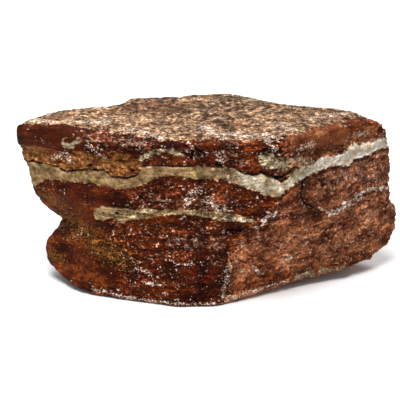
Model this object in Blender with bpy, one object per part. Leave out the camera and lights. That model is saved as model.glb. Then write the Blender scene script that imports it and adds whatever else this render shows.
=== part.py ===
# A banded aquascaping rock: one broken block of red jasper crossed by pale quartz beds.
# Metres, +Z up. The origin is the middle of the foot of the rock's box, +X runs along its
# length, and -Y is the side with the split faces and the front corner.

import bmesh
import bpy
from mathutils import Vector, noise

MM = 0.001

# Size of the finished block
LENGTH = 205 * MM
DEPTH = 92 * MM
HEIGHT = 92 * MM

# Fineness of the broken surface: the grid it is cut on, how far its corners are worn, and the
# facets it ends with
GRID = 1.6 * MM
WEAR = {"factor": 0.5, "passes": 3}
FACETS = 7600

# The foot is cut flat at this height
FOOT_CUT = 0.4 * MM

# Corners of the lumps that the block is fused from, in millimetres from the middle of its foot.
# Each lump is the hull of its corners, so its faces are flat splits.
UPPER_BLOCK = {
    "top_front": [(-100, -2, 90), (-76, -14, 91), (-55, -21, 91), (-34, -31, 91),
                  (14, -35, 92), (36, -32, 91), (58, -9, 92), (79, 5, 91), (90, 11, 89)],
    "top_back": [(76, 19, 92), (55, 30, 92), (20, 46, 92), (4, 53, 92),
                 (-42, 40, 92), (-79, 19, 92), (-90, 11, 91)],
    "left_end": [(-101, 1, 81), (-101, 2, 70), (-97, 4, 60), (-92, 5, 44), (-80, 5, 33)],
    "front": [(-55, -22, 42), (-32, -29, 44), (10, -37, 44), (28, -37, 46), (36, -36, 61)],
    "right_end": [(96, 17, 82), (100, 19, 72), (101, 20, 58), (101, 20, 45)],
    "back": [(70, 36, 50), (30, 53, 56), (-30, 50, 60), (-68, 30, 50), (20, 50, 40)],
}
MIDDLE_BEDS = {
    "front": [(-58, -10, 30), (-58, -10, 54), (50, -10, 30), (50, -10, 54)],
    "back": [(-70, 20, 28), (-70, 24, 50), (-40, 44, 28), (-32, 47, 58),
             (25, 49, 28), (25, 50, 56), (72, 37, 28), (69, 35, 54)],
}
RIGHT_SHOULDER = {
    "left_edge": [(52, -22, 64), (58, -18, 49)],
    "lip": [(63, -14, 44), (73, -6, 43), (80, 1, 46), (88, 7, 50)],
    "right_edge": [(98, 17, 48), (98, 18, 66)],
    "inside": [(60, 5, 66), (60, 5, 44), (90, 30, 55)],
}
LOWER_BLOCK = {
    "foot": [(-36, -16, 0), (-15, -30, 0), (5, -31, 0), (31, -8, 0),
             (40, 12, 0), (16, 29, 0), (-27, 25, 0), (-43, 4, 0)],
    "front_rim": [(-70, -19, 2), (-54, -24, 1), (-30, -32, 1), (-17, -36, 1), (4, -35, 1),
                  (17, -27, 2), (29, -19, 3), (50, -10, 4), (61, -7, 5), (72, -2, 6),
                  (83, 4, 7), (90, 10, 8), (99, 14, 15)],
    "back_rim": [(82, 30, 8), (20, 45, 5), (-50, 36, 6), (-76, 18, 6)],
    "left_end": [(-80, -3, 4), (-87, -1, 9), (-90, 4, 14), (-89, 4, 21), (-81, 5, 30)],
    "front": [(-56, -21, 40), (-9, -33, 44), (9, -37, 20), (8, -37, 43)],
    "lip": [(62, -13, 43), (73, -6, 42), (81, 2, 45), (89, 9, 50), (99, 18, 48)],
    "right_end": [(105, 19, 32), (105, 20, 22), (102, 22, 12)],
    "back": [(74, 40, 30), (25, 52, 30), (-42, 48, 30), (-80, 24, 28)],
}

# Chips that are struck off, as hulls again
BACK_EDGE_RIGHT = [(18, 60, 95), (75, 42, 95), (75, 42, 70), (18, 60, 74),
                   (32, 34, 95), (62, 24, 95), (52, 40, 78)]
BACK_EDGE_LEFT = [(-86, 22, 95), (-34, 56, 95), (-34, 56, 72), (-86, 30, 74),
                  (-74, 14, 95), (-48, 28, 95), (-58, 34, 80)]
BACK_LEDGE = [(-30, 72, 86), (54, 72, 86), (-30, 72, 57), (54, 72, 60),
              (-26, 50, 84), (8, 53, 86), (46, 46, 84),
              (-24, 45, 60), (10, 47, 57), (44, 43, 61)]

# Relief of the faces, in millimetres: height, and spacing along and across the beds.
# Swells are smooth. Breaks and grain are scoops with sharp rims, with a ripple over them.
SWELL = {"height": 1.3, "along": 34, "across": 22}
BREAK = {"height": 0.9, "along": 15, "across": 9}
GRAIN = {"height": 0.35, "along": 6, "across": 4}
SCOOP_MIDDLE = 0.5
RIPPLE = {"height": 0.6, "per_scoop": 1.7}

# The beds rise by this much for each millimetre along X and Y, and wander by the sway
BED_RISE = (0.044, -0.054)
BED_SWAY = {"height": 3, "spacing": 45}
# Ledges where the beds part: level, how far the rock above it stands out, and its edge's width
LEDGES = [(84, 0.5, 2), (72, 0.9, 2), (61, -0.6, 3), (52, 0.7, 2), (43, -0.8, 3), (24, 0.6, 3)]

# The relief starts this far above the foot and is whole after the fade, in millimetres
FOOT_FLAT = 0.8
FOOT_FADE = 3

# Small hollows in the split faces: centre, half width and depth. Each fades out at its reach.
HOLLOW_REACH = 1.5
HOLLOWS = [((-62, -19, 71), 2, 1.6), ((-47, -25, 46), 2, 1.4), ((13, -38, 43), 6, 1.8),
           ((-30, 48, 66), 6, 2.4), ((40, 46, 58), 5, 2.2), ((-70, 28, 70), 5, 2.0)]

# The stone's own colour and finish
STONE_RED = (0.20, 0.055, 0.03)
STONE_ROUGHNESS = 0.6


def hull(name, corners):
    mesh = bpy.data.meshes.new(name)
    made = bmesh.new()
    for corner in corners:
        made.verts.new(Vector(corner) * MM)
    found = bmesh.ops.convex_hull(made, input=made.verts)
    loose = [item for item in found["geom_interior"] if isinstance(item, bmesh.types.BMVert)]
    bmesh.ops.delete(made, geom=loose, context="VERTS")
    bmesh.ops.recalc_face_normals(made, faces=made.faces)
    made.to_mesh(mesh)
    made.free()
    piece = bpy.data.objects.new(name, mesh)
    bpy.context.scene.collection.objects.link(piece)
    return piece


def lump(name, groups):
    return hull(name, [corner for group in groups.values() for corner in group])


def combine(block, other, operation):
    other.hide_render = True
    other.display_type = "WIRE"
    step = block.modifiers.new(other.name, "BOOLEAN")
    step.operation = operation
    step.object = other


def settle(block):
    # Turns the modifiers so far into the block's own mesh
    shaped = block.evaluated_get(bpy.context.evaluated_depsgraph_get())
    mesh = bpy.data.meshes.new_from_object(shaped)
    block.modifiers.clear()
    block.data = mesh


def bed_level(point):
    # Height of a point above the foot, in millimetres, measured square to the beds
    sway = noise.noise(Vector((point.x, point.y, 0)) / BED_SWAY["spacing"])
    return point.z - BED_RISE[0] * point.x - BED_RISE[1] * point.y - BED_SWAY["height"] * sway


def spaced(point, kind):
    return Vector((point.x / kind["along"], point.y / kind["along"], point.z / kind["across"]))


def swell(point):
    return SWELL["height"] * noise.noise(spaced(point, SWELL))


def scoops(point, kind):
    place = spaced(point, kind)
    from_middle = noise.voronoi(place)[0][0]
    ripple = RIPPLE["height"] * noise.noise(place * RIPPLE["per_scoop"])
    return kind["height"] * (from_middle - SCOOP_MIDDLE + ripple)


def ledge(level):
    out = 0
    for height, step, width in LEDGES:
        above = (level - height) / width
        out += step * min(max(above, -0.5), 0.5)
    return out


def hollow(point):
    deep = 0
    for centre, half_width, depth in HOLLOWS:
        far = (point - Vector(centre)).length / half_width / HOLLOW_REACH
        if far < 1:
            deep += depth * (1 - far ** 2)
    return deep


def relief(point, normal):
    # How far a point moves out along its normal, in millimetres; the foot stays flat
    side = 1 - abs(normal.z)
    out = swell(point) + scoops(point, BREAK) + scoops(point, GRAIN)
    out += side * ledge(bed_level(point)) - hollow(point)
    return out * min(max((point.z - FOOT_FLAT) / FOOT_FADE, 0), 1)


def weather(block):
    # Moves the points of the fine mesh by the relief
    mesh = block.data
    moves = [vertex.normal * relief(vertex.co / MM, vertex.normal) * MM for vertex in mesh.vertices]
    for vertex, move in zip(mesh.vertices, moves):
        vertex.co += move


def fit(block):
    # Brings the block to its length, depth and height over a flat foot, centred on the origin
    made = bmesh.new()
    made.from_mesh(block.data)
    cut = bmesh.ops.bisect_plane(made, geom=made.verts[:] + made.edges[:] + made.faces[:],
                                 plane_co=(0, 0, FOOT_CUT), plane_no=(0, 0, 1), clear_inner=True)
    rim = [item for item in cut["geom_cut"] if isinstance(item, bmesh.types.BMEdge)]
    bmesh.ops.holes_fill(made, edges=rim, sides=0)
    low = Vector([min(vertex.co[axis] for vertex in made.verts) for axis in range(3)])
    high = Vector([max(vertex.co[axis] for vertex in made.verts) for axis in range(3)])
    middle = Vector(((low.x + high.x) / 2, (low.y + high.y) / 2, low.z))
    size = high - low
    for vertex in made.verts:
        place = vertex.co - middle
        vertex.co = (place.x * LENGTH / size.x, place.y * DEPTH / size.y, place.z * HEIGHT / size.z)
    bmesh.ops.triangulate(made, faces=made.faces)
    bmesh.ops.recalc_face_normals(made, faces=made.faces)
    made.to_mesh(block.data)
    made.free()


def stone_material():
    stone = bpy.data.materials.new("red_jasper")
    stone.use_nodes = True
    surface = stone.node_tree.nodes["Principled BSDF"]
    surface.inputs["Base Color"].default_value = (*STONE_RED, 1)
    surface.inputs["Roughness"].default_value = STONE_ROUGHNESS
    surface.inputs["Metallic"].default_value = 0
    return stone


for old in list(bpy.data.objects):
    bpy.data.objects.remove(old)

rock = lump("rock", UPPER_BLOCK)
combine(rock, lump("middle_beds", MIDDLE_BEDS), "UNION")
combine(rock, lump("right_shoulder", RIGHT_SHOULDER), "UNION")
combine(rock, lump("lower_block", LOWER_BLOCK), "UNION")
combine(rock, hull("back_edge_right", BACK_EDGE_RIGHT), "DIFFERENCE")
combine(rock, hull("back_edge_left", BACK_EDGE_LEFT), "DIFFERENCE")
combine(rock, hull("back_ledge", BACK_LEDGE), "DIFFERENCE")
settle(rock)

remesh = rock.modifiers.new("fine_surface", "REMESH")
remesh.mode = "VOXEL"
remesh.voxel_size = GRID
smooth = rock.modifiers.new("even_surface", "SMOOTH")
smooth.factor = WEAR["factor"]
smooth.iterations = WEAR["passes"]
settle(rock)
weather(rock)

decimate = rock.modifiers.new("facets", "DECIMATE")
decimate.ratio = FACETS / (2 * len(rock.data.polygons))
settle(rock)
fit(rock)
rock.data.materials.clear()
rock.data.materials.append(stone_material())
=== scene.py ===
# The looks of a banded aquascaping rock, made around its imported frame. The scene is in metres.
# The stone's dictionaries hold millimetres from the middle of its foot, the studio's metres.
import math

import bmesh
import bpy
import numpy as np
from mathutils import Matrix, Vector


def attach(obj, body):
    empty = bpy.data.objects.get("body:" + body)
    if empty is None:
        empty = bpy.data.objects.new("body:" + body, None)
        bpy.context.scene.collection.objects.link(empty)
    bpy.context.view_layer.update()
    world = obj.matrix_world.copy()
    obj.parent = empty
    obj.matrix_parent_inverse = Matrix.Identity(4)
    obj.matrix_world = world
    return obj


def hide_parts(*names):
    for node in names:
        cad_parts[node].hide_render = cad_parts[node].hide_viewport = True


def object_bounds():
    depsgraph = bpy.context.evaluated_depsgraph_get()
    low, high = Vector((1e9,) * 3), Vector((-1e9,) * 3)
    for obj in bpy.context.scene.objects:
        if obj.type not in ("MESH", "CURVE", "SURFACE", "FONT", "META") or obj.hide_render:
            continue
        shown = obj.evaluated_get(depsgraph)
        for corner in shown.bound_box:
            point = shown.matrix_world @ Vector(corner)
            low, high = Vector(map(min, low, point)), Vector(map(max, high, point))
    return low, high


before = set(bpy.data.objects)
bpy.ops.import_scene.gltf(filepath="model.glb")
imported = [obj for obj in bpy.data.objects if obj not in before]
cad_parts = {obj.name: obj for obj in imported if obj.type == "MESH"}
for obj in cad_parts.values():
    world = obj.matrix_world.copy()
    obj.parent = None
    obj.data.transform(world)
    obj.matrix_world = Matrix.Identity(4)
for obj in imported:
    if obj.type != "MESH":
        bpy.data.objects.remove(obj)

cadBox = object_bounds()
mm = 0.001


def hexColour(code):
    # An sRGB hex value as the linear colour that the nodes take
    parts = [int(code[i:i + 2], 16) / 255 for i in (1, 3, 5)]
    linear = [p / 12.92 if p <= 0.04045 else ((p + 0.055) / 1.055) ** 2.4 for p in parts]
    return (*linear, 1)


def addNode(tree, kind, sockets=(), out=0, **settings):
    # Adds a node with its settings and returns one output. Sockets are given in order or by
    # name, each as a value or as another node's output.
    node = tree.nodes.new(kind)
    for name, value in settings.items():
        setattr(node, name, value)
    for name, value in sockets.items() if isinstance(sockets, dict) else enumerate(sockets):
        if isinstance(value, bpy.types.NodeSocket):
            tree.links.new(value, node.inputs[name])
        else:
            node.inputs[name].default_value = value
    return node.outputs[out] if len(node.outputs) else None


# The beds and marks of the stone

beds = {
    "rise": (0.044, -0.054),  # how much the beds climb for each mm along X and Y
    # Where the split front faces stand, as (x, y)
    "frontLine": [(-102, -6), (-96, -10), (-68, -25), (-45, -34), (-32, -40), (-11, -42.5),
                  (6, -44), (27, -44), (33, -42), (45, -33), (55, -25), (67, -15), (78, -5),
                  (90, 5), (102, 13)],
    # Front edge of the dusty upper face, as (x, y)
    "topLine": [(-102, -6), (-90, -12), (-68, -17), (-47, -26), (-37, -32), (-12, -36),
                (23, -36), (33, -34), (45, -26), (56, -14), (67, -3), (77, 3), (90, 11)],
    # The front corner, where the lighter right face starts, as (z, x)
    "arris": [(0, 7), (25, 8), (40, 14), (50, 28), (60, 36), (80, 38), (92, 34)],
    # Upper and lower edges of the pale beds on the front, as (x, z)
    "veinTop": [(-102, 68), (-82, 68.3), (-77, 66.4), (-69, 68.5), (-56, 70.5), (-52, 67.5),
                (-45, 67.4), (-39, 70), (-36, 76), (-32, 76.7), (-12, 77.6), (6, 77.6),
                (11, 76.5), (16, 73.8), (20, 73), (25, 74), (29, 72.5), (36, 68.6), (39, 69.2),
                (43, 72.4), (49, 73.2), (54, 74.5), (57, 76.4), (64, 74.6), (68, 75), (72, 77),
                (75, 78.4), (78, 76.6), (90, 76.6), (102, 75)],
    "veinFoot": [(-102, 50), (-96, 53), (-92, 56), (-88, 59.7), (-80, 60.8), (-58, 62.4),
                 (-48, 61.7), (-42, 63.2), (-37, 65.4), (-32, 67.9), (-27, 70.4), (-24, 71.3),
                 (-6, 70.1), (1, 70.8), (9, 69.8), (14, 68.1), (19, 66.1), (25, 63.7),
                 (33, 60.9), (36, 62.4), (42, 65.7), (50, 67.8), (61, 69), (67, 68.6),
                 (72, 66.2), (75, 69.2), (83, 68.7), (90, 70.5), (102, 70)],
    "seamTop": [(-62, 48), (-58, 50.9), (-53, 51.4), (-48, 50.8), (-35, 52.6), (-17, 53.9),
                (-6, 54), (9, 52.8), (16, 51.2), (22, 49)],
    "seamFoot": [(-62, 43), (-59, 42.4), (-53, 43.8), (-48, 42.8), (-43, 44.6), (-35, 47.1),
                 (-27, 49.4), (-17, 50.8), (-6, 50.5), (9, 47.7), (22, 48)],
    "lensTop": [(-102, 77), (-92, 79.2), (-82, 77.8), (-68, 79.7), (-55, 79.4), (-50, 82),
                (-44, 82.6), (-40, 81.4), (-37, 79.2), (-34, 76)],
    # Stretches of the vein's upper edge where it has parted from the rock above it
    "partings": [(-98, -66), (-64, -31), (-29, -9), (-3, 2), (12, 27), (28, 41)],
    "parting": {"halfWidth": 0.55, "aboveVein": 0.2, "taper": 2},
    # The line under the vein: how far below its lower edge, and half width
    "underVein": (1.1, 1.4),
    # Where the vein turns cleaner and then white: X, and over how many mm
    "cleanVein": (8, 10),
    "whiteVein": (46, 8),
    "slabAboveVein": 2,  # right of the lens, where the slab's overhang starts
    "arrisWidth": 5,  # half the width over which the corner turns lighter
    # The upper face lies above this height and faces up by this share, and ends this sharply
    "upperFace": {"above": 80, "facing": 0.55, "sharpness": 10, "outside": -5},
    # The front's shapes ease into the back's between these depths behind the front line, and
    # these fields drop by so much there
    "backFade": (14, 45),
    "backDrop": {"seam": 6, "lens": 4, "rightFace": 2, "whiteVein": 2},
    # The vein's height and thickness in the back. Waves are a height, the lengths along X and Y,
    # and a start.
    "backVein": (71, 6.5),
    "veinWander": [(1.6, 19, math.inf, 0.6), (1.1, 8.3, 14, 2), (0.5, 3.7, math.inf, 0)],
    "veinSwell": [(0.35, 23, 17, 1.1), (0.15, 6.1, math.inf, 0.4)],
    # A thin seam low in the back, as (x, height, half thickness), and how much it is thinned
    "backSeam": [(-60, 40, 0), (-45, 41, 1.4), (-20, 42.5, 2.2), (0, 41, 1.1), (25, 43, 2.4),
                 (50, 45.5, 1.6), (66, 46, 0)],
    "seamThinned": 0.4,
    "seamWander": [(0.8, 7, math.inf, 0)],
}

# Marks on the faces. Each is a half width and the points of its line, all in mm.
marks = {
    "whiteCrust": {
        "slab end scratch": (1.9, (28, -35, 90), (32, -42, 86)),
        "slab flecks": (2.3, (44, -34, 84), (51, -29, 85)),
        "lens flecks": (1.6, (-83, -18, 74), (-76, -23, 78), (-74, -23, 74)),
        "lens slash": (1.6, (-64, -28, 84), (-56, -31, 79)),
        "slab spot": (2.4, (3, -44, 85), (4, -44, 81)),
        "middle flecks": (2.4, (-13, -42, 57), (-10, -42, 64), (-6, -42, 65)),
        "middle flecks low": (2.4, (-4, -43, 59), (6, -45, 55)),
        "corner rim": (1.7, (9, -44, 24), (7, -43, 14), (6, -41, 5)),
        "right foot rim": (1.6, (8, -40, 3), (17, -36, 4), (26, -31, 5), (40, -24, 6)),
        "low cluster": (1.6, (-40, -36, 19), (-33, -39, 17)),
        "low cluster middle": (1.3, (-35, -39, 12), (-27, -41, 11)),
        "low cluster right": (1.1, (-26, -41, 7), (-24, -42, 7)),
        "left foot rim": (1.2, (-64, -29, 4), (-43, -36, 2), (-22, -43, 2), (0, -43, 2)),
        "low scratch": (0.6, (-22, -40, 25), (-17, -42, 23), (-4, -45, 26)),
        "seam end": (1.4, (6, -44, 50), (15, -44, 49)),
        "right speck high": (1.2, (15, -42, 34), (16, -42, 34)),
        "right speck low": (1.4, (21, -38, 20), (26, -34, 15)),
        "right speck far": (1.5, (37, -29, 19), (42, -26, 21)),
        "top left streak": (3.4, (-72, -11, 90), (-54, -8, 90)),
        "top edge left": (3.6, (-45, -21, 90), (-26, -31, 90)),
        "top edge middle": (4.0, (-4, -18, 91), (5, -33, 90)),
        "top edge right": (4.2, (6, -26, 90), (32, -33, 91)),
        "top patch right": (3.6, (35, -14, 91), (42, -26, 91)),
        "top far right": (3.4, (51, -3, 91), (70, 5, 91)),
        "top left end": (4.0, (-98, -3, 89), (-85, -10, 90)),
    },
    # Pale scuffed crust on the ledge and the front corner, partly a painted highlight where their
    # upward edges catch the light
    "ridgeCrust": {
        "front corner": (1.6, (33, -41, 52), (28, -44, 51), (25, -45, 46), (23, -38, 42)),
        "ledge start": (1.0, (56, -23, 47), (62, -21, 43)),
        "ledge": (1.7, (62, -21, 43), (66, -17, 43), (72, -12, 45), (77, -7, 47), (81, -5, 48)),
        "ledge end": (0.9, (84, -2, 50), (96, 9, 47)),
    },
    "paleQuartz": {
        "corner lump": (4.2, (27, -43, 81), (37, -38, 77.5)),
        "grey eye": (1.5, (-76, -23, 83), (-73, -25, 83)),
        "grey hook": (1.1, (-68, -26, 87), (-71, -25, 85), (-72, -25, 82)),
        "oval": (1.3, (76, -8, 83), (82, -2, 82)),
        "foot crust": (2.0, (46, -21, 7), (51, -19, 7), (55, -17, 7)),
        "foot crust far": (1.8, (59, -15, 8), (65, -13, 7), (72, -9, 8)),
        "low spot": (1.6, (15, -41, 19), (15, -41, 18)),
        "low spot right": (1.5, (41, -27, 20), (42, -27, 20)),
        "top back": (5, (16, 37, 91), (21, 31, 91)),
        "shoulder patch": (1.9, (43, -35, 78), (51, -29, 75)),
        "swirl": (1.3, (-36, -40, 81), (-29, -42, 85), (-21, -42, 86), (-15, -42, 83)),
    },
    "ochreStain": {
        "below the notch": (5.5, (-81, -5, 35), (-67, -21, 32), (-59, -29, 28), (-48, -33, 23)),
        "left toe": (3, (-90, -8, 14), (-82, -13, 15)),
        "top left": (7, (-86, 2, 90), (-50, 17, 90)),
        "left middle": (3.5, (-89, -10, 50), (-81, -13, 46)),
    },
    "rustStain": {
        "left foot": (5, (-78, -20, 10), (-59, -31, 10)),
        "left waist": (4, (-88, -6, 26), (-89, -6, 17)),
        "right foot": (4.2, (14, -38, 9), (40, -25, 8), (64, -14, 9)),
        "right foot far": (3.6, (66, -13, 12), (85, -1, 12)),
        "right end": (3.6, (94, 5, 18), (98, 10, 15)),
        "left edge": (3.2, (-99, -10, 71), (-97, -9, 64)),
        "shoulder top": (3.6, (69, -12, 88), (86, 2, 87)),
        "corner face": (5, (34, -42, 54), (50, -30, 56)),
        "right spot": (2.2, (92, 5, 53), (93, 6, 53)),
        "left middle": (4.6, (-90, -4, 42), (-58, -30, 55)),
        "seam end": (1.6, (19, -44, 49), (21, -44, 49)),
        "right slab": (5, (44, -33, 83), (70, -12, 84)),
    },
    # Dark haematite, and painted shade in the hollow under the front corner, below the lump,
    # along the shoulder's overhang and in the corner crack
    "haematite": {
        "corner left": (7, (-4, -45, 30), (-4, -43, 5)),
        "slab left": (3.2, (-42, -37, 88), (-14, -42, 89)),
        "slab middle": (3.4, (-14, -42, 84), (1, -43, 82)),
        "shade below the lump": (2.2, (25, -44, 75), (34, -42, 71.5), (43, -34, 73)),
        "shade in the corner hollow": (2.2, (7, -44, 43), (15, -41, 42)),
        "shoulder shadow": (2.6, (30, -42, 48), (55, -22, 44)),
        "corner crack": (2.7, (47, -31, 65), (47, -33, 57), (53, -24, 47)),
        "left middle": (3.4, (-80, -18, 55), (-45, -35, 54)),
        "low middle": (4.5, (-54, -32, 15), (-33, -39, 16)),
    },
    "greyDust": {
        "shoulder face": (10, (58, -24, 61), (87, 2, 63)),
        "right face": (8, (19, -40, 37), (74, -9, 21)),
        "middle": (5.5, (-35, -38, 58), (6, -45, 59)),
        "slab": (3.6, (-65, -27, 88), (-32, -41, 88)),
        "fleck band": (4.8, (-25, -39, 35), (3, -45, 37)),
        "right end": (8, (71, -13, 40), (96, 6, 35)),
        "slab centre": (4, (8, -44, 87), (16, -44, 80)),
    },
    "maroonSlab": {
        "left slab": (6.5, (-101, -9, 83), (-69, -26, 87)),
    },
    "yellowVein": {
        "beyond the corner": (3.0, (43, -34, 71), (51, -28, 70)),
        "left": (2.2, (-71, -24, 66), (-57, -30, 65)),
        "orange grains": (1.6, (-12, -42, 77), (-7, -43, 73)),
    },
    "shoulderFibres": {
        "shoulder face": (8, (70, -12, 66), (90, 3, 56)),
    },
    "topRust": {
        "brown patch": (9, (-42, 12, 91), (-22, 20, 91)),
        "dark streak": (3, (11, -18, 91), (14, -8, 91)),
        "left end": (3, (-84, -8, 90), (-82, -2, 90)),
    },
    "calm": {
        "left slab": (8, (-101, -9, 83), (-72, -25, 87)),
        "right slab": (4, (39, -37, 88), (69, -13, 84)),
        "left middle": (8, (-92, -6, 47), (-58, -30, 54)),
        "left low": (13, (-84, -12, 14), (-62, -29, 18)),
        "left waist": (6, (-84, -8, 40), (-60, -27, 40)),
    },
    # Cracks and pits, cut into the relief as grooves and darkened in the colour as painted shade
    "crack": {
        "corner crack": (0.5, (47, -31, 66), (46, -34, 60), (48, -31, 53), (53, -24, 48)),
        "shade below the lump": (1.0, (24, -44, 75), (29, -43, 72), (36, -41, 71), (43, -34, 74)),
        "lens pit": (1.1, (-64, -27, 72), (-63.5, -27, 72)),
        "lens pit right": (1.0, (-41, -37, 73), (-41.5, -37, 73)),
        "seam pit": (1.2, (-50, -31, 47), (-49.5, -31, 47)),
        "seam pit left": (0.7, (-57, -29, 47), (-57, -29, 47.2)),
        "shoulder pit": (1.4, (58, -24, 61), (58.5, -24, 61)),
        "spot pit": (1.2, (2, -44, 79.5), (4, -44, 79)),
        "slab split": (0.8, (-14, -42, 89), (-10, -42, 85), (-11, -42, 82)),
        "slab split right": (0.8, (-9, -43, 88), (-4, -43, 84)),
        "shade in the hollow under the ledge": (0.9, (7, -44, 43), (15, -41, 42)),
    },
}

markReach = {
    "upperFaceFrom": 88.5,  # a mark that lies above this height is on the upper face
    # Distances into the stone count less than those along its faces, so that marks reach in
    "upperFace": (1, 1, 0.3),
    "sides": (1, 0.35, 1),
    "farAway": -3.0,  # a field's value away from its marks
}


def lineField(points, name):
    # How far inside the marks of one kind a point is: 1 on the line, 0 at its edge, less outside
    field = np.full(len(points), markReach["farAway"])
    for halfWidth, *line in marks[name].values():
        onTop = min(place[2] for place in line) > markReach["upperFaceFrom"]
        flatten = np.array(markReach["upperFace" if onTop else "sides"])
        for start, end in zip(line, line[1:]):
            start, run = np.array(start) * flatten, (np.array(end) - np.array(start)) * flatten
            away = points * flatten - start
            along = np.clip(away @ run / (run @ run), 0, 1)
            distance = np.linalg.norm(away - along[:, None] * run, axis=1)
            field = np.maximum(field, 1 - distance / halfWidth)
    return field


def waves(x, y, shapes):
    return sum(height * np.sin(x / alongX + y / alongY + start)
               for height, alongX, alongY, start in shapes)


def readBeds(points, facingUp):
    # The named fields that both the relief and the stone's colours follow, one value a point
    x, y, z = points.T
    riseX, riseY = beds["rise"]
    drop = beds["backDrop"]
    depth = y - np.interp(x, *zip(*beds["frontLine"]))
    start, end = beds["backFade"]
    behind = np.clip((depth - start) / (end - start), 0, 1)
    behind = behind * behind * (3 - 2 * behind)
    fields = {name: lineField(points, name) for name in marks}
    fields["behind"] = behind

    # Edges of the pale beds as on the front, then the vein's as they ease into the back
    edge = {name: np.interp(x, *zip(*beds[name])) + riseY * depth
            for name in ("veinTop", "veinFoot", "seamTop", "seamFoot", "lensTop")}
    height, thickness = beds["backVein"]
    middle = height + riseX * x + riseY * y + waves(x, y, beds["veinWander"])
    half = thickness / 2 * (1 + waves(x, y, beds["veinSwell"]))
    top = edge["veinTop"] + behind * (middle + half - edge["veinTop"])
    foot = edge["veinFoot"] + behind * (middle - half - edge["veinFoot"])
    fields["vein"] = np.minimum(top - z, z - foot)
    for name in ("cleanVein", "whiteVein"):
        start, length = beds[name]
        fields[name] = np.minimum(fields["vein"], (x - start) / length)
    fields["whiteVein"] = fields["whiteVein"] - drop["whiteVein"] * behind
    below, halfWidth = beds["underVein"]
    fields["underVein"] = 1 - np.abs(z - foot + below) / halfWidth

    # The lens between the vein and the slab, and the seam lower down
    lensEnd = beds["lensTop"][-1][0]
    lens = np.minimum(np.minimum(edge["lensTop"] - z, z - top), lensEnd - x)
    fields["lens"] = lens - drop["lens"] * behind
    aboveVein = z - top - beds["slabAboveVein"]
    fields["slabUnder"] = np.where(x < lensEnd, z - edge["lensTop"], aboveVein)
    seamEnds = np.minimum(x - beds["seamTop"][0][0], beds["seamTop"][-1][0] - x)
    frontSeam = np.minimum(np.minimum(edge["seamTop"] - z, z - edge["seamFoot"]), seamEnds)
    seamX, seamZ, seamHalf = zip(*beds["backSeam"])
    level = z - riseY * y + waves(x, y, beds["seamWander"])
    backSeam = np.interp(x, seamX, seamHalf) - np.abs(level - np.interp(x, seamX, seamZ))
    fields["seam"] = np.maximum(frontSeam - drop["seam"] * behind,
                                backSeam - beds["seamThinned"] - drop["seam"] * (1 - behind))

    # Open cracks along the vein's upper edge, beside those among the marks
    gap = beds["parting"]
    parted = np.zeros(len(points))
    for left, right in beds["partings"]:
        inside = np.clip(np.minimum(x - left, right - x) / gap["taper"], 0, 1)
        parted = np.maximum(parted, inside)
    parting = (1 - np.abs(z - top - gap["aboveVein"]) / gap["halfWidth"]) * parted * (1 - behind)
    fields["crack"] = np.maximum(fields["crack"], parting)

    # The upper face, and the right face beyond the corner
    upper = beds["upperFace"]
    facing = upper["sharpness"] * (facingUp - upper["facing"])
    flat = np.where(z > upper["above"], facing, upper["outside"])
    fields["topInside"] = np.minimum(y - np.interp(x, *zip(*beds["topLine"])), flat)
    fromArris = (x - np.interp(z, *zip(*beds["arris"]))) / beds["arrisWidth"]
    fields["rightFace"] = np.clip(fromArris, -1, 1) - drop["rightFace"] * behind
    return fields


def storeFields(mesh, fields):
    for name, values in fields.items():
        attribute = mesh.attributes.new(name, "FLOAT", "POINT")
        attribute.data.foreach_set("value", values.astype(np.float32))


def meshPoints(mesh):
    # Places of a mesh's points, in mm
    points = np.empty(len(mesh.vertices) * 3)
    mesh.vertices.foreach_get("co", points)
    return points.reshape(-1, 3) / mm


def newObject(name, data):
    piece = bpy.data.objects.new(name, data)
    bpy.context.scene.collection.objects.link(piece)
    return piece


def settleMesh(piece):
    # The piece as its modifiers leave it, as plain mesh
    evaluated = piece.evaluated_get(bpy.context.evaluated_depsgraph_get())
    mesh = bpy.data.meshes.new_from_object(evaluated)
    piece.modifiers.clear()
    piece.data = mesh


def newMaterial(name):
    material = bpy.data.materials.new(name)
    material.use_nodes = True
    material.node_tree.nodes.clear()
    return material


def newTree(name, sizes):
    # A tree with geometry in and out and a named input for each size, and what it is given
    tree = bpy.data.node_groups.new(name, "GeometryNodeTree")
    for way in ("INPUT", "OUTPUT"):
        tree.interface.new_socket("Geometry", in_out=way, socket_type="NodeSocketGeometry")
    for label, value in sizes.items():
        kind = "NodeSocketInt" if isinstance(value, int) else "NodeSocketFloat"
        tree.interface.new_socket(label, in_out="INPUT", socket_type=kind)
    return tree, tree.nodes.new("NodeGroupInput").outputs


def addTree(piece, tree, sizes):
    # Puts a node tree on a piece and sets its inputs by their identifiers
    modifier = piece.modifiers.new(tree.name, "NODES")
    modifier.node_group = tree
    for item in tree.interface.items_tree:
        if item.in_out == "INPUT" and item.name in sizes:
            modifier[item.identifier] = sizes[item.name]


# Stone surface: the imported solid, refined and broken up by its own relief

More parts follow.
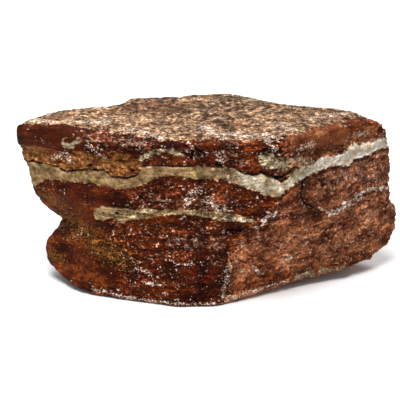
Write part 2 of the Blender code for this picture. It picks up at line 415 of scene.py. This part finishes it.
stoneSurface = {
    "weld": 0.001,  # the solid's points that lie closer than this are one
    "gridSize": 0.74,  # between points, before the faces are thinned out
    "smoothing": {"factor": 0.5, "passes": 6},
    "triangles": 196000,  # after that
    "relief": {
        "Scoop depth": 0.9,  # shallow shell-shaped scoops
        "Scoop size": 10.0,
        "Plate depth": 0.9,  # flat plates that parted along the beds
        "Plate size": 12.0,
        "Chip depth": 0.6,
        "Chip size": 4.6,
        "Hackle depth": 1.0,  # torn grain
        "Hackle size": 3.6,
        "Grain depth": 0.3,
        "Grain size": 1.7,
        "Vein recess": 0.8,  # on the left the vein is worn back
        "Vein stand": 0.6,  # on the right it stands out
        "Slab overhang": 0.9,  # the upper slab over the ochre lens
        "Crust height": 0.5,
        "Crack depth": 1.2,
        "Calm share": 0.8,  # how much of the torn grain the smooth splits lose
        "Bias": -0.15,  # the whole surface, so that less of it reaches out of the solid
        "Seed": 7.0,
    },
    # How many times longer than high each form lies in the beds
    "flatness": {"Hackle": 1.5, "Grain": 1.5, "Scoop": 1.5, "Plate": 3.4, "Chip": 2.2},
    "warp": {"size": 5.0, "detail": 2, "reach": 2.2},  # bends the edges of the last three
    "levelPasses": 5,  # blurs that give the level around a point, for what stands proud of it
    # Where forms act: what each ramp follows, the ends that it runs between, and its values there
    "ramps": {
        "calm": ("calm", -0.2, 0.4, 0, 1),
        "inVein": ("vein", -0.5, 0.7, 0, 1),
        "veinStands": ("x", 40, 70, 0, 1),
        "slab": ("slabUnder", -0.4, 0.8, 0, 1),
        "leftEnd": ("x", -38, -28, 1, 0),
        "crust": ("whiteCrust", -0.1, 0.6, 0, 1),
        "crack": ("crack", 0, 0.9, 0, -1),
        "lessInVein": ("vein", -0.2, 0.8, 1, 0.45),
        "lessOnTop": ("topInside", 0, 2, 1, 0.65),
        "aboveFoot": ("z", 0.5, 3.5, 0, 1),
    },
}


def reliefTree(material):
    tree, given = newTree("stoneRelief", stoneSurface["relief"])
    flatness, bend = stoneSurface["flatness"], stoneSurface["warp"]

    # Place on the rock in mm, then with the beds laid level, then warped
    place = addNode(tree, "GeometryNodeInputPosition")
    place = addNode(tree, "ShaderNodeVectorMath", {0: place, "Scale": 1 / mm}, operation="SCALE")
    x, y, z = addNode(tree, "ShaderNodeSeparateXYZ", (place,)).node.outputs
    climb = addNode(tree, "ShaderNodeVectorMath", (place, (*beds["rise"], 0)), "Value",
                    operation="DOT_PRODUCT")
    level = addNode(tree, "ShaderNodeMath", (z, climb), operation="SUBTRACT")
    bedded = addNode(tree, "ShaderNodeCombineXYZ", (x, y, level))
    warp = addNode(tree, "ShaderNodeTexNoise",
                   {"Vector": bedded, "Scale": 1 / bend["size"], "Detail": bend["detail"]},
                   "Color", normalize=False)
    warp = addNode(tree, "ShaderNodeVectorMath", {0: warp, "Scale": bend["reach"]},
                   operation="SCALE")
    warped = addNode(tree, "ShaderNodeVectorMath", (bedded, warp), operation="ADD")

    # Noise of the torn grain
    pattern = {}
    for label, kind, detail in (("Hackle", "RIDGED_MULTIFRACTAL", 2), ("Grain", "FBM", 1)):
        flat = addNode(tree, "ShaderNodeVectorMath", (bedded, (1, 1, flatness[label])),
                       operation="MULTIPLY")
        scale = addNode(tree, "ShaderNodeMath", (1, given[label + " size"]), operation="DIVIDE")
        pattern[label] = addNode(tree, "ShaderNodeTexNoise",
                                 {"Vector": flat, "W": given["Seed"], "Scale": scale,
                                  "Detail": detail, "Roughness": 0.5},
                                 noise_dimensions="4D", noise_type=kind, normalize=False)
    # Cells: how far from a scoop's middle, and one random height for each plate and chip
    for label, output in (("Scoop", "Distance"), ("Plate", "Color"), ("Chip", "Color")):
        flat = addNode(tree, "ShaderNodeVectorMath", (warped, (1, 1, flatness[label])),
                       operation="MULTIPLY")
        scale = addNode(tree, "ShaderNodeMath", (1, given[label + " size"]), operation="DIVIDE")
        pattern[label] = addNode(tree, "ShaderNodeTexVoronoi",
                                 {"Vector": flat, "W": given["Seed"], "Scale": scale}, output,
                                 voronoi_dimensions="4D")
        if output == "Color":
            pattern[label] = addNode(tree, "FunctionNodeSeparateColor", (pattern[label],))

    # The ramps over the fields and the place, and what some of them give together
    follows = {"x": x, "z": z}
    for source, *ends in stoneSurface["ramps"].values():
        if source not in follows:
            follows[source] = addNode(tree, "GeometryNodeInputNamedAttribute", (source,),
                                      data_type="FLOAT")
    ramp = {name: addNode(tree, "ShaderNodeMapRange", (follows[source], *ends))
            for name, (source, *ends) in stoneSurface["ramps"].items()}
    ramp["calm"].node.interpolation_type = "SMOOTHSTEP"
    calm = addNode(tree, "ShaderNodeMath", (ramp["calm"], given["Calm share"]),
                   operation="MULTIPLY")
    rough = addNode(tree, "ShaderNodeMath", (1, calm), operation="SUBTRACT")
    for share in (ramp["lessInVein"], ramp["lessOnTop"]):
        rough = addNode(tree, "ShaderNodeMath", (rough, share), operation="MULTIPLY")
    stands = addNode(tree, "ShaderNodeMath", (ramp["inVein"], ramp["veinStands"]),
                     operation="MULTIPLY")
    recessed = addNode(tree, "ShaderNodeMath", (stands, ramp["inVein"]), operation="SUBTRACT")
    slab = addNode(tree, "ShaderNodeMath", (ramp["slab"], ramp["leftEnd"]), operation="MULTIPLY")

    # Each form's share times its depth, summed in mm along the normal. One or a half is taken
    # off those that are never negative, so that the faces stay about where they are.
    out = 0
    for share, depth in ((pattern["Hackle"], "Hackle depth"), (-1, "Hackle depth"),
                         (pattern["Grain"], "Grain depth"),
                         (pattern["Plate"], "Plate depth"), (-0.5, "Plate depth"),
                         (pattern["Chip"], "Chip depth"), (-0.5, "Chip depth")):
        out = addNode(tree, "ShaderNodeMath", (share, given[depth], out),
                      operation="MULTIPLY_ADD")
    out = addNode(tree, "ShaderNodeMath", (out, rough, given["Bias"]), operation="MULTIPLY_ADD")
    for share, depth in ((pattern["Scoop"], "Scoop depth"), (-0.5, "Scoop depth"),
                         (stands, "Vein stand"), (recessed, "Vein recess"),
                         (slab, "Slab overhang"), (ramp["crust"], "Crust height"),
                         (ramp["crack"], "Crack depth")):
        out = addNode(tree, "ShaderNodeMath", (share, given[depth], out),
                      operation="MULTIPLY_ADD")
    out = addNode(tree, "ShaderNodeMath", (out, ramp["aboveFoot"]), operation="MULTIPLY")
    around = addNode(tree, "GeometryNodeBlurAttribute",
                     {"Value": out, "Iterations": stoneSurface["levelPasses"]})
    proud = addNode(tree, "ShaderNodeMath", (out, around), operation="SUBTRACT")
    out = addNode(tree, "ShaderNodeMath", (out, mm), operation="MULTIPLY")
    normal = addNode(tree, "GeometryNodeInputNormal")
    move = addNode(tree, "ShaderNodeVectorMath", {0: normal, "Scale": out}, operation="SCALE")

    stone = addNode(tree, "GeometryNodeStoreNamedAttribute",
                    {"Geometry": given["Geometry"], "Name": "proud", "Value": proud},
                    data_type="FLOAT", domain="POINT")
    stone = addNode(tree, "GeometryNodeSetPosition", {"Geometry": stone, "Offset": move})
    stone = addNode(tree, "GeometryNodeRealizeInstances", {"Geometry": stone})
    stone = addNode(tree, "GeometryNodeSetMaterial", {"Geometry": stone, "Material": material})
    addNode(tree, "NodeGroupOutput", {"Geometry": stone})
    return tree


def makeStoneSurface(material):
    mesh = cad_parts["rock"].data.copy()
    whole = bmesh.new()
    whole.from_mesh(mesh)
    bmesh.ops.remove_doubles(whole, verts=whole.verts, dist=stoneSurface["weld"] * mm)
    whole.to_mesh(mesh)
    whole.free()
    mesh.materials.clear()
    piece = newObject("stoneSurface", mesh)
    fine = piece.modifiers.new("fine grid", "REMESH")
    fine.mode = "VOXEL"
    fine.voxel_size = stoneSurface["gridSize"] * mm
    even = piece.modifiers.new("even", "SMOOTH")
    even.factor = stoneSurface["smoothing"]["factor"]
    even.iterations = stoneSurface["smoothing"]["passes"]
    settleMesh(piece)
    mesh = piece.data
    points = meshPoints(mesh)
    normals = np.empty(len(mesh.vertices) * 3)
    mesh.vertices.foreach_get("normal", normals)
    storeFields(mesh, readBeds(points, normals.reshape(-1, 3)[:, 2]))
    print("stone surface: refined to", len(mesh.polygons), "faces")

    addTree(piece, reliefTree(material), stoneSurface["relief"])
    settleMesh(piece)
    thin = piece.modifiers.new("thin out", "DECIMATE")
    thin.ratio = min(stoneSurface["triangles"] / (2 * len(piece.data.polygons)), 1)
    settleMesh(piece)
    mesh = piece.data
    points = meshPoints(mesh)
    low, high = (np.array(corner) / mm for corner in cadBox)
    points = np.clip(points, low, high)
    mesh.vertices.foreach_set("co", (points * mm).ravel())
    mesh.update()
    mesh.shade_smooth()
    print("stone surface: relief done,", len(mesh.polygons), "faces")
    return piece


# Red jasper, a fine-grained iron-stained quartz rock, broken along its beds. Broken faces are
# dull and torn, with maroon and rust bands, dusty weathering and sugary white quartz.

jasper = {
    # Patterns of the colour: size along and across the beds in mm, detail, and roughness
    "patterns": {
        "bands": ((24, 4.5), 4, 0.6),
        "clouds": ((11, 8), 3, 0.55),
        "torn": ((2.8, 1.8), 4, 0.62),
        "streaks": ((7, 1.1), 3, 0.6),
        "fibres": ((1.1, 6), 2, 0.6),
        "grain": ((1.1, 1.0), 2, 0.7),
        "speck": ((1.3, 1.0), 1, 0.5),
        "clusters": ((6, 4), 3, 0.6),
    },
    "deepRed": "#360e02",
    "brick": "#6a2c0b",
    # Layers over the red: field, what frays it and by how much, where it starts and is full,
    # strength, dark and light colour, and the pattern between them
    "layers": [
        ("rightFace", "torn", 1.2, -0.3, 0.6, 0.9, "#803e1e", "#c07a50", "clouds"),
        ("rustStain", "torn", 1.2, -0.3, 0.8, 0.8, "#61260a", "#844019", "clouds"),
        # dark haematite, with painted shade where its marks lie in hollows and under overhangs
        ("haematite", "torn", 1.2, -0.3, 0.7, 0.85, "#2c0803", "#4c1406", "clouds"),
        ("maroonSlab", "torn", 0.5, -0.2, 0.3, 0.95, "#421504", "#562208", "bands"),
        ("ochreStain", "grain", 2.0, -0.1, 1.0, 0.7, "#58350f", "#92682c", "speck"),
        ("greyDust", "torn", 2.0, 0.4, 1.6, 0.5, "#7e4936", "#b88d76", "clusters"),
        ("shoulderFibres", "fibres", 2.4, 0.5, 1.5, 0.6, "#8c5844", "#d0a690", "grain"),
        ("behind", "clouds", 2.5, 1.3, 2.0, 0.6, "#66290e", "#8f4a22", "torn"),
        ("behind", "clusters", 2.4, 1.85, 2.4, 0.6, "#8c664e", "#c9b198", "grain"),
        ("flecks", "speck", 2.2, 0.95, 1.3, 0.65, "#9c6e5a", "#dcc4b0", "grain"),
        ("lens", "torn", 1.3, -0.3, 0.9, 0.95, "#6c3a16", "#a8703f", "clusters"),
        ("underVein", "torn", 0.7, -0.1, 0.6, 0.85, "#3a1207", "#551f10", "grain"),
        ("vein", "torn", 0.8, -0.3, 0.5, 1.0, "#785a38", "#b19066", "clusters"),
        ("cleanVein", "torn", 1.2, -0.4, 0.7, 0.95, "#a68b64", "#e0d2b9", "clusters"),
        ("whiteVein", "torn", 1.0, -0.3, 0.6, 0.95, "#e6ccae", "#fff5e6", "clusters"),
        ("yellowVein", "torn", 1.4, 0.0, 1.2, 0.6, "#8a7638", "#cdb978", "clusters"),
        ("seam", "torn", 0.8, -0.3, 0.5, 1.0, "#80603c", "#c4a67c", "clusters"),
        ("topInside", "torn", 3.0, -0.5, 1.0, 0.95, "#6e4c36", "#b28f70", "torn"),
        ("topRust", "torn", 1.6, 0.0, 1.0, 0.6, "#5e301f", "#8e5a42", "clouds"),
        ("paleQuartz", "torn", 0.8, -0.1, 0.5, 0.9, "#7d694c", "#b8a687", "clusters"),
        # pale crust, partly a painted highlight on the upper edges of the ledge and corner
        ("ridgeCrust", "torn", 1.6, -0.1, 0.9, 0.9, "#bd9280", "#f4e2d2", "grain"),
        ("whiteCrust", "speck", 2.6, 0.55, 1.3, 0.9, "#ad8470", "#e8d8c6", "grain"),
    ],
    # How many stops each pattern lightens or darkens the stone by: grain tone, and painted shade
    # in the low spots of the fine bumps that torn, grain and streaks also make
    "stops": {"torn": 1.3, "grain": 1.3, "streaks": 1.2, "clouds": 0.7},
    # Fine torn relief under the size of the mesh, in mm
    "bumps": {"torn": 0.45, "grain": 0.2, "streaks": 0.25},
    "patternShift": (3.7, 1.9, 5.3),  # how far each pattern starts from the one before
    "spread": 0.5,  # how far to each side of 0 a pattern mostly runs
    "mottle": {"clouds": 0.6, "spread": 0.7},  # of the red: clouds added to the bands
    "roughness": (0.5, 0.8),
    # What each ramp follows, the ends that it runs between, and its values there. The last two
    # are stops of painted shade: darker in the relief's hollows and cracks, lighter where it
    # stands proud.
    "ramps": {
        "fewerFlecks": ("calm", -0.2, 0.4, 0, -0.6),
        "lessStreaked": ("rightFace", -0.4, 0.6, 1, 0.3),
        "livelier": ("calm", -0.2, 0.4, 1, 0.45),
        "evenVein": ("vein", -0.2, 0.6, 1, 0.5),
        # painted shade: hollows of the relief darker, what stands proud of it lighter
        "worn": ("proud", -0.5, 0.5, -1.4, 0.7),
        # painted shade: up to three stops darker in the cracks and pits
        "crack": ("crack", -0.1, 0.5, 0, -3),
    },
}


def jasperMaterial():
    material = newMaterial("brokenRedJasper")
    tree = material.node_tree

    # Object place with the beds laid level, then each pattern at its own size
    place = addNode(tree, "ShaderNodeTexCoord", (), "Object")
    riseX, riseY = beds["rise"]
    level = addNode(tree, "ShaderNodeMapping",
                    {"Vector": place, "Rotation": (-math.atan(riseY), math.atan(riseX), 0)})
    pattern = {}
    for count, (name, (size, detail, roughness)) in enumerate(jasper["patterns"].items()):
        along, across = (1 / (length * mm) for length in size)
        shift = tuple(step * count for step in jasper["patternShift"])
        scaled = addNode(tree, "ShaderNodeMapping",
                         {"Vector": level, "Scale": (along, along, across), "Location": shift})
        pattern[name] = addNode(tree, "ShaderNodeTexNoise",
                                {"Vector": scaled, "Scale": 1, "Detail": detail,
                                 "Roughness": roughness}, normalize=False)

    # The stone's own fields, the ramps over them, and the flecks, which follow a pattern and
    # keep off the calm splits
    names = {layer[0] for layer in jasper["layers"]} - {"flecks"}
    names |= {source for source, *ends in jasper["ramps"].values()}
    field = {name: addNode(tree, "ShaderNodeAttribute", (), "Fac", attribute_name=name)
             for name in sorted(names)}
    ramp = {name: addNode(tree, "ShaderNodeMapRange", (field[source], *ends))
            for name, (source, *ends) in jasper["ramps"].items()}
    field["flecks"] = addNode(tree, "ShaderNodeMath", (pattern["clusters"], ramp["fewerFlecks"]),
                              operation="ADD")
    pattern["streaks"] = addNode(tree, "ShaderNodeMath",
                                 (pattern["streaks"], ramp["lessStreaked"]),
                                 operation="MULTIPLY")

    # The red itself, mottled along the beds
    mottle = addNode(tree, "ShaderNodeMath",
                     (pattern["clouds"], jasper["mottle"]["clouds"], pattern["bands"]),
                     operation="MULTIPLY_ADD")
    spread = jasper["mottle"]["spread"]
    mottle = addNode(tree, "ShaderNodeMapRange", (mottle, -spread, spread, 0, 1))
    colour = addNode(tree, "ShaderNodeMix",
                     {0: mottle, 6: hexColour(jasper["deepRed"]), 7: hexColour(jasper["brick"])},
                     2, data_type="RGBA")
    spread = jasper["spread"]
    for name, fray, amount, low, high, strength, dark, light, between in jasper["layers"]:
        edge = addNode(tree, "ShaderNodeMath", (pattern[fray], amount, field[name]),
                       operation="MULTIPLY_ADD")
        mask = addNode(tree, "ShaderNodeMapRange", (edge, low, high, 0, strength),
                       interpolation_type="SMOOTHSTEP")
        share = addNode(tree, "ShaderNodeMapRange", (pattern[between], -spread, spread, 0, 1))
        pigment = addNode(tree, "ShaderNodeMix",
                          {0: share, 6: hexColour(dark), 7: hexColour(light)}, 2,
                          data_type="RGBA")
        colour = addNode(tree, "ShaderNodeMix", {0: mask, 6: colour, 7: pigment}, 2,
                         data_type="RGBA")

    # Grain by grain brightness in stops, weaker where it is calm, with painted shade: darker in
    # hollows and cracks, lighter where the relief stands proud
    stops = 0
    for name, amount in jasper["stops"].items():
        stops = addNode(tree, "ShaderNodeMath", (pattern[name], amount, stops),
                        operation="MULTIPLY_ADD")
    lively = addNode(tree, "ShaderNodeMath", (ramp["livelier"], ramp["evenVein"]),
                     operation="MULTIPLY")
    stops = addNode(tree, "ShaderNodeMath", (stops, lively), operation="MULTIPLY")
    for more in (ramp["worn"], ramp["crack"]):
        stops = addNode(tree, "ShaderNodeMath", (stops, more), operation="ADD")
    shade = addNode(tree, "ShaderNodeMath", (2, stops), operation="POWER")
    colour = addNode(tree, "ShaderNodeMix", {0: 1, 6: colour, 7: shade}, 2,
                     data_type="RGBA", blend_type="MULTIPLY", clamp_result=True)

    # The same patterns as heights in mm, whose low spots the stops above darken as painted shade,
    # and duller where a face is torn
    height = 0
    for name, amount in jasper["bumps"].items():
        height = addNode(tree, "ShaderNodeMath", (pattern[name], amount, height),
                         operation="MULTIPLY_ADD")
    height = addNode(tree, "ShaderNodeMath", (height, lively), operation="MULTIPLY")
    normal = addNode(tree, "ShaderNodeBump", {"Strength": 1, "Distance": mm, "Height": height})
    dull = addNode(tree, "ShaderNodeMapRange",
                   (pattern["torn"], -spread, spread, *jasper["roughness"]))
    # A torn face scatters nearly all of its sheen, so the specular level is close to none
    shader = addNode(tree, "ShaderNodeBsdfPrincipled",
                     {"Base Color": colour, "Roughness": dull, "Normal": normal, "IOR": 1.54,
                      "Specular IOR Level": 0.05})
    addNode(tree, "ShaderNodeOutputMaterial", {"Surface": shader})
    return material


# Quartz grains: sugary crystals on the white crusts, and a few on the other breaks

quartzGrains = {
    "grains": {
        "Grain radius": 0.32,
        "Grains per mm2": 1.2,
        "Seed": 11,
    },
    "least": (0.4, 0.4, 0.4),  # smallest and largest share of the radius along each axis
    "most": (1.0, 0.9, 1.2),
    "stretchSeed": 3,
    "turn": 6.28,  # radians, so that a grain lies any way round
    "onBreaks": 0.0015,  # share of the full number away from the crusts
    "edgeRoom": 0.8,  # kept clear inside the solid's box
    "shades": ("#8e6850", "#decab4"),
    "shadeSize": 1.5,
    "shadeEnds": (0.3, 0.65),  # of the noise, where each shade is reached
}


def grainTree(material):
    tree, given = newTree("quartzScatter", quartzGrains["grains"])
    share = addNode(tree, "GeometryNodeInputNamedAttribute", ("grainShare",), data_type="FLOAT")
    density = addNode(tree, "ShaderNodeMath", (given["Grains per mm2"], 1 / mm ** 2),
                      operation="MULTIPLY")
    density = addNode(tree, "ShaderNodeMath", (density, share), operation="MULTIPLY")
    spots = addNode(tree, "GeometryNodeDistributePointsOnFaces",
                    {"Mesh": given["Geometry"], "Density": density, "Seed": given["Seed"]})
    radius = addNode(tree, "ShaderNodeMath", (given["Grain radius"], mm), operation="MULTIPLY")
    grain = addNode(tree, "GeometryNodeMeshIcoSphere", {"Radius": radius, "Subdivisions": 1})
    turn = addNode(tree, "FunctionNodeRandomValue",
                   {0: (0, 0, 0), 1: (quartzGrains["turn"],) * 3, "Seed": given["Seed"]},
                   data_type="FLOAT_VECTOR")
    stretch = addNode(tree, "FunctionNodeRandomValue",
                      {0: quartzGrains["least"], 1: quartzGrains["most"],
                       "Seed": quartzGrains["stretchSeed"]}, data_type="FLOAT_VECTOR")
    grains = addNode(tree, "GeometryNodeInstanceOnPoints",
                     {"Points": spots, "Instance": grain, "Rotation": turn, "Scale": stretch})
    grains = addNode(tree, "GeometryNodeRealizeInstances", {"Geometry": grains})
    grains = addNode(tree, "GeometryNodeSetMaterial", {"Geometry": grains, "Material": material})
    addNode(tree, "NodeGroupOutput", {"Geometry": grains})
    return tree


# Milky quartz, broken into sugary grains with flat clean faces that glint
def quartzMaterial():
    material = newMaterial("brokenMilkyQuartz")
    tree = material.node_tree
    place = addNode(tree, "ShaderNodeTexCoord", (), "Object")
    shade = addNode(tree, "ShaderNodeTexNoise",
                    {"Vector": place, "Scale": 1 / (quartzGrains["shadeSize"] * mm), "Detail": 1})
    shade = addNode(tree, "ShaderNodeMapRange", (shade, *quartzGrains["shadeEnds"], 0, 1))
    dark, light = (hexColour(code) for code in quartzGrains["shades"])
    colour = addNode(tree, "ShaderNodeMix", {0: shade, 6: dark, 7: light}, 2, data_type="RGBA")
    shader = addNode(tree, "ShaderNodeBsdfPrincipled",
                     {"Base Color": colour, "Roughness": 0.35, "IOR": 1.54})
    addNode(tree, "ShaderNodeOutputMaterial", {"Surface": shader})
    return material


def makeQuartzGrains(stone, material):
    piece = newObject("quartzGrains", stone.data.copy())
    mesh = piece.data
    field = {name: np.empty(len(mesh.vertices)) for name in ("whiteCrust", "ridgeCrust", "calm")}
    for name, values in field.items():
        mesh.attributes[name].data.foreach_get("value", values)
    crust = np.clip(np.maximum(field["whiteCrust"], field["ridgeCrust"]), 0, 1)
    points = meshPoints(mesh)
    low, high = (np.array(corner) / mm for corner in cadBox)
    inside = np.minimum(points - low, high - points).min(axis=1) > quartzGrains["edgeRoom"]
    share = np.maximum(crust, quartzGrains["onBreaks"] * (field["calm"] < 0)) * inside
    storeFields(mesh, {"grainShare": share})
    addTree(piece, grainTree(material), quartzGrains["grains"])
    settleMesh(piece)
    print("quartz grains:", len(piece.data.polygons), "faces")
    return piece


# Studio: plain white floor and surroundings, and broad soft lamps overhead and behind

studio = {
    "camera": (-0.0065, -0.7362, 0.326),
    "lookDown": 21,  # degrees
    "lens": 131.6,  # this and the sensor in mm
    "sensor": 36,
    "floorHalf": 4,
    "floorColour": "#f4f4f4",
    "roomStrength": 0.4,
    # Lamps: place, aim, size and power
    "lamps": {
        "overhead": ((-0.1, -0.42, 1.1), (0, 0, 0.05), 0.6, 15),
        "behind": ((0.25, 0.6, 0.9), (0, 0, 0.05), 0.6, 5),
    },
}


def makeStudio():
    half = studio["floorHalf"]
    corners = [(-half, -half, 0), (half, -half, 0), (half, half, 0), (-half, half, 0)]
    mesh = bpy.data.meshes.new("floor")
    mesh.from_pydata(corners, [], [(0, 1, 2, 3)])
    floor = newObject("floor", mesh)
    paper = newMaterial("whitePaperFloor")  # matt white paper
    surface = addNode(paper.node_tree, "ShaderNodeBsdfPrincipled",
                      {"Base Color": hexColour(studio["floorColour"]), "Roughness": 0.9})
    addNode(paper.node_tree, "ShaderNodeOutputMaterial", {"Surface": surface})
    mesh.materials.append(paper)

    world = bpy.data.worlds.new("whiteRoom")
    world.use_nodes = True
    world.node_tree.nodes["Background"].inputs[0].default_value = (1, 1, 1, 1)
    world.node_tree.nodes["Background"].inputs[1].default_value = studio["roomStrength"]
    bpy.context.scene.world = world
    for name, (place, aim, size, power) in studio["lamps"].items():
        lamp = bpy.data.lights.new(name, "AREA")
        lamp.shape = "DISK"
        lamp.size = size
        lamp.energy = power
        hung = newObject(name, lamp)
        hung.location = place
        hung.rotation_euler = (Vector(aim) - Vector(place)).to_track_quat("-Z", "Y").to_euler()

    camera = bpy.data.cameras.new("camera")
    camera.lens = studio["lens"]
    camera.sensor_width = studio["sensor"]
    view = newObject("camera", camera)
    view.location = studio["camera"]
    view.rotation_euler = (math.radians(90 - studio["lookDown"]), 0, 0)
    bpy.context.scene.camera = view
    bpy.context.scene.view_settings.view_transform = "Standard"


stone = makeStoneSurface(jasperMaterial())
grains = makeQuartzGrains(stone, quartzMaterial())
makeStudio()
print("studio: done")

for piece in (stone, grains):
    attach(piece, "root")
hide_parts("rock")
